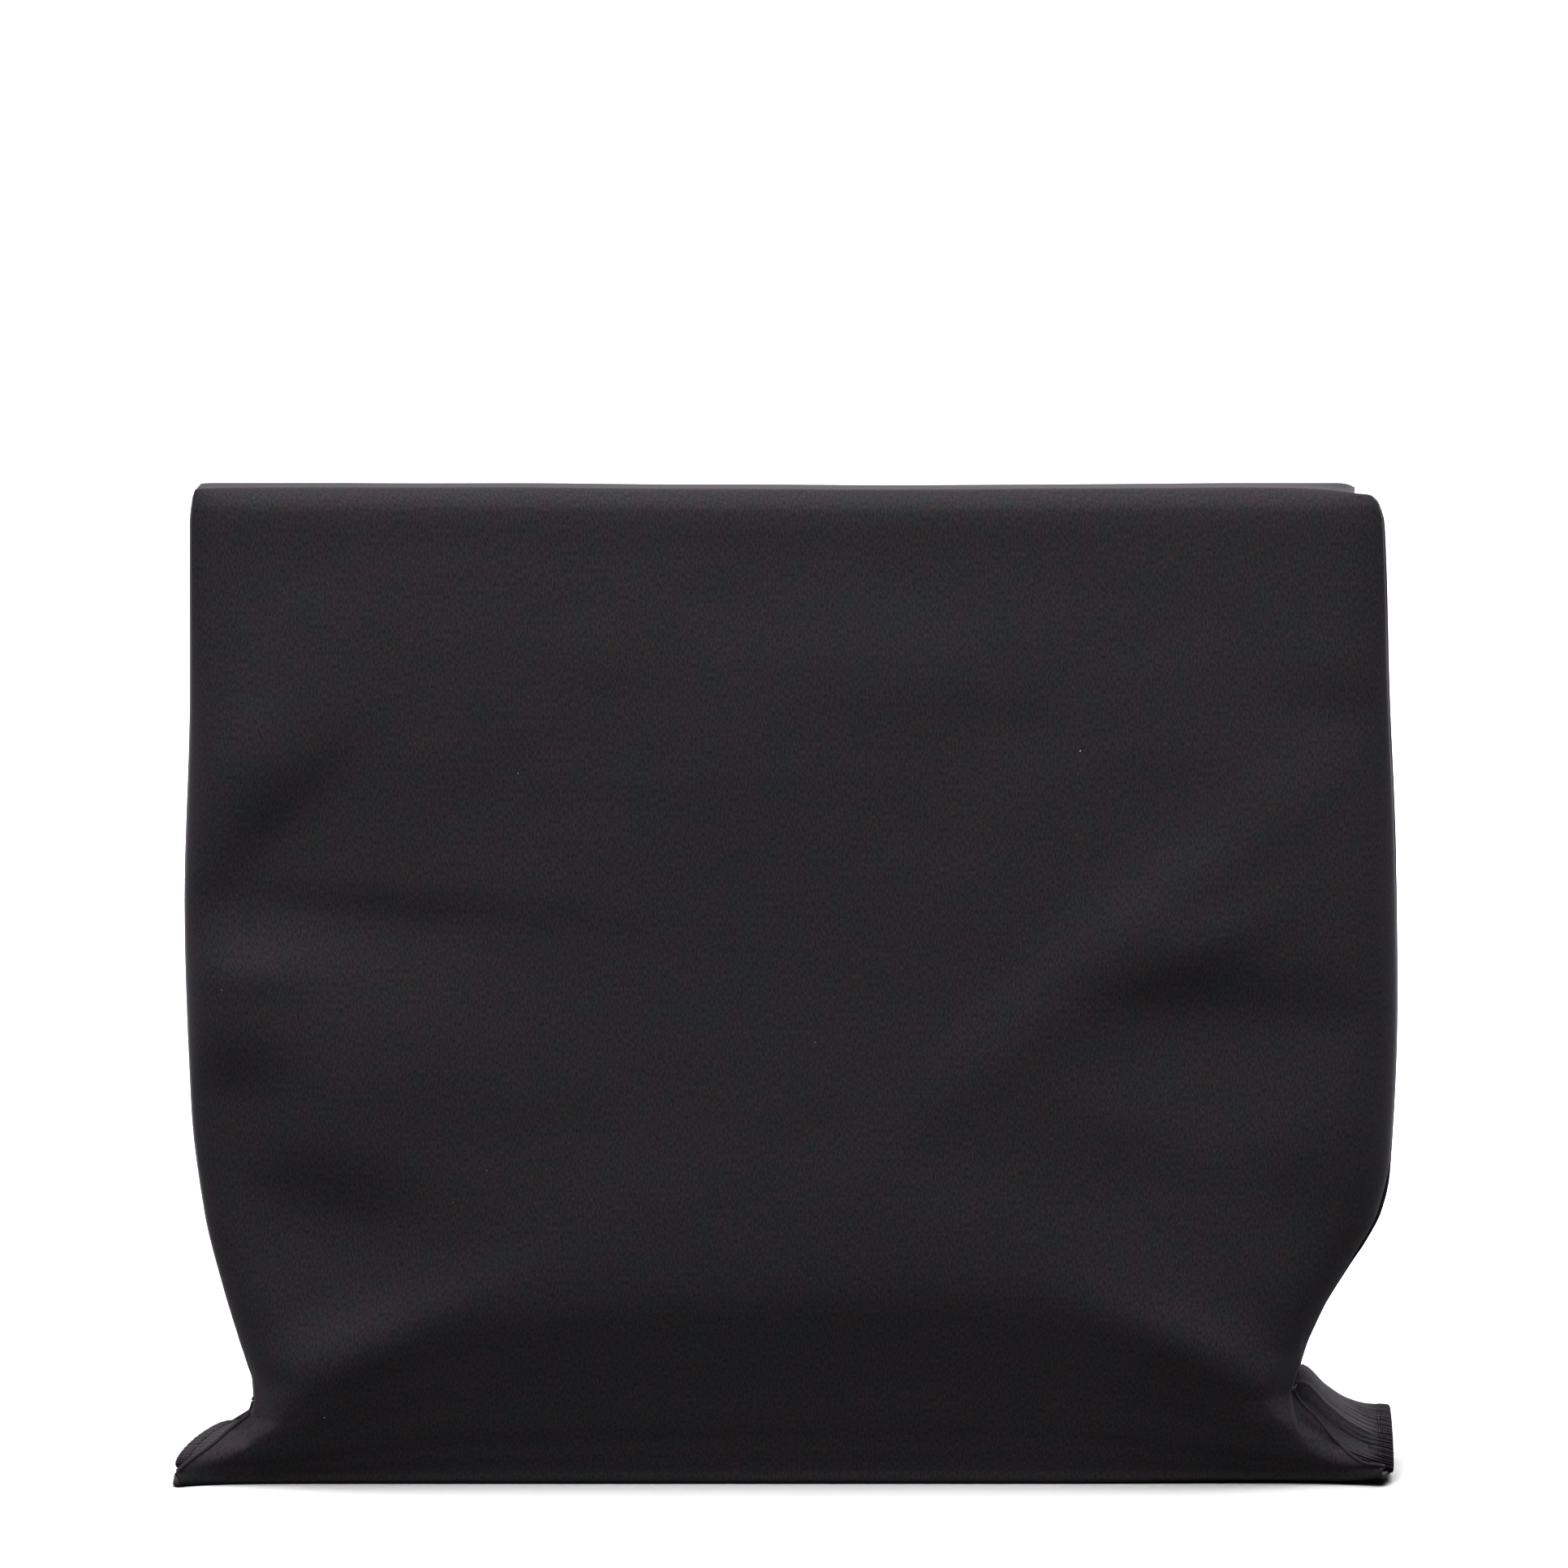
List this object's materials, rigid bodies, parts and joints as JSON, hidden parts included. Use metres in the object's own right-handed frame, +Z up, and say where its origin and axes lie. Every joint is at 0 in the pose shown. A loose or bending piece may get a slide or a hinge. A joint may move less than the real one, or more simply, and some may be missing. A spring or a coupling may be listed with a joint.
{
  "type": "film changing bag",
  "caption": "Light-tight cloth changing bag with elastic arm sleeves and nested zips, standing with its arm end folded flat as a base and its zip end folded over behind.",
  "frame": {"origin": "on the ground, in the middle of the folded base's footprint", "axes": "+X along the bag's width, to the right as seen from the front; +Y from the front face to the back; +Z up"},
  "size_m": [0.68, 0.11, 0.555],
  "materials": {
    "outer_cloth": "matt, closely woven black nylon with a slight sheen",
    "inner_cloth": "matt black light-proof lining",
    "elastic": "ribbed black knitted elastic",
    "seam_binding": "folded black cloth binding",
    "zip_tape": "woven black polyester tape",
    "zip_coil": "black nylon coil",
    "zip_metal": "black enamel on die-cast zinc"
  },
  "bodies": {
    "bag": {"outer_front_panel": "outer_cloth", "outer_back_panel": "outer_cloth", "inner_front_panel": "inner_cloth", "inner_back_panel": "inner_cloth", "left_side_seam": "seam_binding", "right_side_seam": "seam_binding", "base_seam": "seam_binding", "left_opening_hem_front": "seam_binding", "left_opening_hem_back": "seam_binding", "right_opening_hem_front": "seam_binding", "right_opening_hem_back": "seam_binding"},
    "left_sleeve": {"left_sleeve_cloth": "outer_cloth", "left_sleeve_lining": "inner_cloth", "left_cuff_hem": "outer_cloth", "left_wrist_elastic": "elastic", "left_forearm_elastic": "elastic"},
    "right_sleeve": {"right_sleeve_cloth": "outer_cloth", "right_sleeve_lining": "inner_cloth", "right_cuff_hem": "outer_cloth", "right_wrist_elastic": "elastic", "right_forearm_elastic": "elastic"},
    "flap": {"flap_cloth_upper": "outer_cloth", "flap_cloth_lower": "outer_cloth", "flap_cloth_back": "outer_cloth", "inner_flap_upper": "inner_cloth", "inner_flap_lower": "inner_cloth", "inner_flap_back": "inner_cloth", "outer_zip_tape_upper": "zip_tape", "outer_zip_tape_lower": "zip_tape", "inner_zip_tape_upper": "zip_tape", "inner_zip_tape_lower": "zip_tape", "outer_zip_coil_upper": "zip_coil", "outer_zip_coil_lower": "zip_coil", "inner_zip_coil_upper": "zip_coil", "inner_zip_coil_lower": "zip_coil", "outer_zip_stop_left": "zip_metal", "outer_zip_stop_right": "zip_metal", "inner_zip_stop_left": "zip_metal", "inner_zip_stop_right": "zip_metal"},
    "outer_slider": {"outer_zip_slider": "zip_metal"},
    "outer_pull": {"outer_zip_pull": "zip_metal"},
    "inner_slider": {"inner_zip_slider": "zip_metal"},
    "inner_pull": {"inner_zip_pull": "zip_metal"}
  },
  "joints": [
    {"name": "flap_fold", "type": "hinge", "parent": "bag", "child": "flap", "pos_m": [0, -0.0028, 0.5554], "axis": [1, 0, 0], "range_deg": [0, 175]},
    {"name": "left_sleeve_draw", "type": "slide", "parent": "bag", "child": "left_sleeve", "axis": [-1, 0, 0], "range_m": [0, 0.12]},
    {"name": "right_sleeve_draw", "type": "slide", "parent": "bag", "child": "right_sleeve", "axis": [1, 0, 0], "range_m": [0, 0.12]},
    {"name": "outer_zip_slide", "type": "slide", "parent": "flap", "child": "outer_slider", "axis": [-1, 0, 0], "range_m": [0, 0.59]},
    {"name": "outer_pull_swing", "type": "hinge", "parent": "outer_slider", "child": "outer_pull", "pos_m": [0.2915, 0.0229, 0.478], "axis": [0, 0, -1], "range_deg": [0, 180]},
    {"name": "inner_zip_slide", "type": "slide", "parent": "flap", "child": "inner_slider", "axis": [1, 0, 0], "range_m": [0, 0.59]},
    {"name": "inner_pull_swing", "type": "hinge", "parent": "inner_slider", "child": "inner_pull", "pos_m": [-0.2985, 0.01505, 0.505], "axis": [0, 0, 1], "range_deg": [0, 10]}
  ]
}
